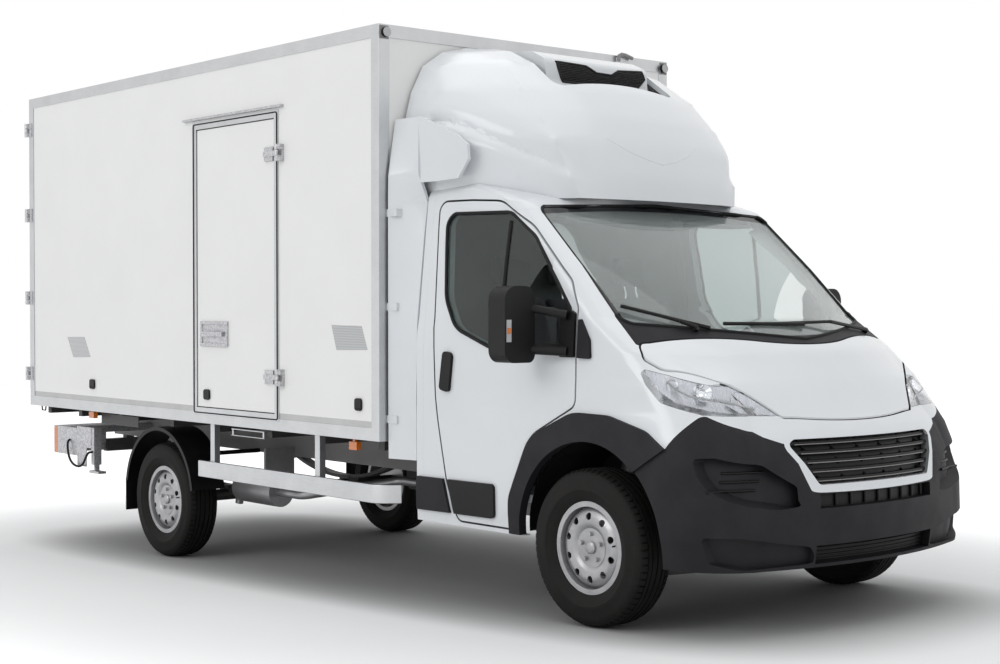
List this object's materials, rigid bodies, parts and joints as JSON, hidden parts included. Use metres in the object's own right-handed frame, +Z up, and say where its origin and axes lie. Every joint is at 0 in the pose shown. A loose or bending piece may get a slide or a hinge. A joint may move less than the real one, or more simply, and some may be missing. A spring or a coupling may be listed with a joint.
{
  "type": "refrigerated truck",
  "caption": "White chassis-cab truck with an insulated refrigerated box body, a roof air deflector around a condensing unit, side and rear doors, and single rear wheels.",
  "frame": {"origin": "ground under the middle of the truck", "axes": "+X forward, +Y to the truck's left, +Z up"},
  "size_m": [6.7608, 2.52, 3.1985],
  "materials": {
    "white_paint": "glossy white body paint",
    "box_white": "smooth white gel-coated panel",
    "dark_plastic": "grained dark grey plastic",
    "black_plastic": "black plastic",
    "glass": "tinted safety glass",
    "lamp_glass": "clear lamp cover",
    "aluminium": "satin anodised",
    "steel_dark": "dark chassis paint",
    "steel_grey": "grey chassis paint",
    "zinc_steel": "zinc-plated hinges and bars",
    "lead_rubber": "black cable sheath",
    "steel_silver": "silver wheel paint",
    "tyre": "black rubber",
    "seat_fabric": "woven seat cover",
    "interior": "grained grey plastic",
    "red_lens": "lamp lens",
    "orange_lens": "lamp lens",
    "floor": "grip floor"
  },
  "bodies": {
    "root": {"cab_shell": "white_paint", "windscreen": "glass", "cowl_panel": "dark_plastic", "headlamps": "lamp_glass", "front_bumper": "dark_plastic", "grille": "black_plastic", "wheel_arch_flares": "dark_plastic", "wheel_arch_liners": "black_plastic", "dashboard": "interior", "seats": "seat_fabric", "roof_deflector": "white_paint", "side_fairings": "white_paint", "refrigeration_unit": "white_paint", "box_floor": "floor", "box_roof": "box_white", "box_walls": "box_white", "door_frames": "aluminium", "box_edge_profiles": "aluminium", "frame_rails": "steel_grey", "chassis_members": "steel_dark", "box_subframe": "steel_dark", "fuel_tank": "steel_dark", "exhaust": "steel_silver", "side_guards": "aluminium", "rear_mudguards": "black_plastic", "lamp_brackets": "zinc_steel", "rear_lamps": "red_lens", "lamp_lead": "lead_rubber", "marker_lamps": "orange_lens", "hinge_plates": "zinc_steel", "wipers": "black_plastic", "engine_block": "steel_dark", "front_suspension": "steel_dark", "rear_axle": "steel_dark"},
    "bonnet": {"bonnet_panel": "white_paint"},
    "door_right": {"door_right_panel": "white_paint", "door_right_glass": "glass", "door_right_mirror_and_trim": "black_plastic"},
    "door_left": {"door_left_panel": "white_paint", "door_left_glass": "glass", "door_left_mirror_and_trim": "black_plastic"},
    "rear_door_left": {"rear_door_left_leaf": "box_white", "rear_door_left_hinges_and_bar": "zinc_steel"},
    "rear_door_right": {"rear_door_right_leaf": "box_white", "rear_door_right_hinges_and_bar": "zinc_steel"},
    "side_door": {"side_door_leaf": "box_white", "side_door_hinges_and_lock": "zinc_steel"},
    "knuckle_left": {"knuckle_left": "steel_dark"},
    "knuckle_right": {"knuckle_right": "steel_dark"},
    "wheel_front_left": {"wheel_front_left_rim": "steel_silver", "wheel_front_left_tyre": "tyre"},
    "wheel_front_right": {"wheel_front_right_rim": "steel_silver", "wheel_front_right_tyre": "tyre"},
    "wheel_rear_left": {"wheel_rear_left_rim": "steel_silver", "wheel_rear_left_tyre": "tyre"},
    "wheel_rear_right": {"wheel_rear_right_rim": "steel_silver", "wheel_rear_right_tyre": "tyre"}
  },
  "joints": [
    {"name": "steer_left", "type": "hinge", "parent": "root", "child": "knuckle_left", "pos_m": [2.42669, 0.82, 0.235], "axis": [0, -0.2694, 0.963], "range_deg": [-35, 35]},
    {"name": "steer_right", "type": "hinge", "parent": "root", "child": "knuckle_right", "pos_m": [2.42669, -0.82, 0.235], "axis": [0, 0.2694, 0.963], "range_deg": [-35, 35]},
    {"name": "wheel_front_left_spin", "type": "hinge", "parent": "knuckle_left", "child": "wheel_front_left", "pos_m": [2.42669, 0.905, 0.372], "axis": [0, 1, 0], "continuous": true},
    {"name": "wheel_front_right_spin", "type": "hinge", "parent": "knuckle_right", "child": "wheel_front_right", "pos_m": [2.42669, -0.905, 0.372], "axis": [0, 1, 0], "continuous": true},
    {"name": "wheel_rear_left_spin", "type": "hinge", "parent": "root", "child": "wheel_rear_left", "pos_m": [-1.60831, 0.895, 0.372], "axis": [0, 1, 0], "continuous": true},
    {"name": "wheel_rear_right_spin", "type": "hinge", "parent": "root", "child": "wheel_rear_right", "pos_m": [-1.60831, -0.895, 0.372], "axis": [0, 1, 0], "continuous": true},
    {"name": "door_right_swing", "type": "hinge", "parent": "root", "child": "door_right", "pos_m": [2.36086, -1, 1.00257], "axis": [0.0336, 0, 0.9994], "range_deg": [0, 70]},
    {"name": "door_left_swing", "type": "hinge", "parent": "root", "child": "door_left", "pos_m": [2.36086, 1, 1.00257], "axis": [-0.0336, 0, -0.9994], "range_deg": [0, 70]},
    {"name": "bonnet_lift", "type": "hinge", "parent": "root", "child": "bonnet", "pos_m": [2.67153, 0, 1.34432], "axis": [0, -1, 0], "range_deg": [0, 55]},
    {"name": "side_door_swing", "type": "hinge", "parent": "root", "child": "side_door", "pos_m": [0.01101, -1.125, 1.58191], "axis": [0.0336, 0, 0.9994], "range_deg": [0, 170]},
    {"name": "rear_door_right_swing", "type": "hinge", "parent": "root", "child": "rear_door_right", "pos_m": [-3.35009, -1.112, 1.695], "axis": [0.0336, 0, 0.9994], "range_deg": [0, 260]},
    {"name": "rear_door_left_swing", "type": "hinge", "parent": "root", "child": "rear_door_left", "pos_m": [-3.35009, 1.112, 1.695], "axis": [-0.0336, 0, -0.9994], "range_deg": [0, 260]}
  ],
  "couplings": [
    {"joint": "steer_right", "follows": "steer_left", "ratio": 1}
  ]
}
